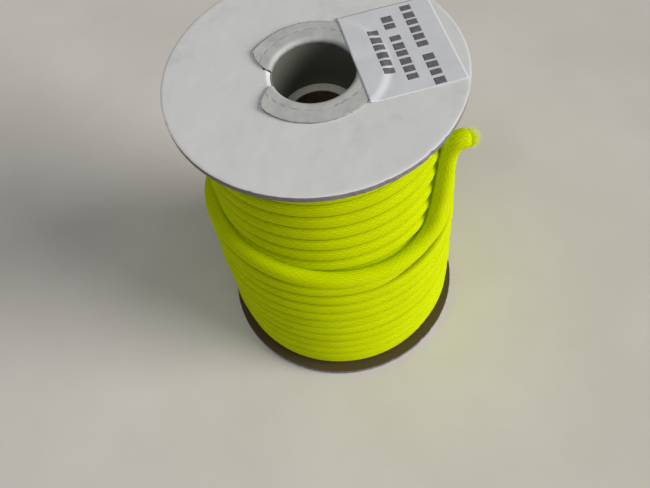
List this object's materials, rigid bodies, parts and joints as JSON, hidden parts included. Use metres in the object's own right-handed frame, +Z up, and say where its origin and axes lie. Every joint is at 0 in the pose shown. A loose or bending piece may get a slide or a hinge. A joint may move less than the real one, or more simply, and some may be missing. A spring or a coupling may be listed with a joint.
{
  "type": "cord spool",
  "caption": "Flanged paperboard spool wound with braided utility cord, with a hollow core for a spindle and a free cord end.",
  "frame": {"origin": "on the spool axis, level with the lowest face of the spool", "axes": "+Z up along the spindle axis, from the lower flange to the labelled one; +X is within about ten degrees of the direction from the axis to the middle of the label"},
  "size_m": [0.0792, 0.0762, 0.1027],
  "materials": {
    "kraft_tube": "matte spiral-wound kraft",
    "core_paper": "matte, pale cut end",
    "grey_board": "matte recycled greyboard",
    "white_facing": "smooth uncoated",
    "sleeve_paper": "matte calendered",
    "label_paper": "semi-matte",
    "tape_paper": "crepe",
    "neon_cord": "soft sheen braid"
  },
  "bodies": {
    "root": {"barrel_tube": "kraft_tube", "core_tube": "core_paper", "top_flange_board": "grey_board", "bottom_flange_board": "grey_board", "top_flange_facing": "white_facing", "bottom_flange_facing": "white_facing", "top_sleeve": "sleeve_paper", "bottom_sleeve": "sleeve_paper", "product_label": "label_paper", "start_tape": "tape_paper", "cord_winding": "neon_cord", "cord_last_turn": "neon_cord", "cord_frayed_end": "neon_cord"}
  },
  "joints": []
}
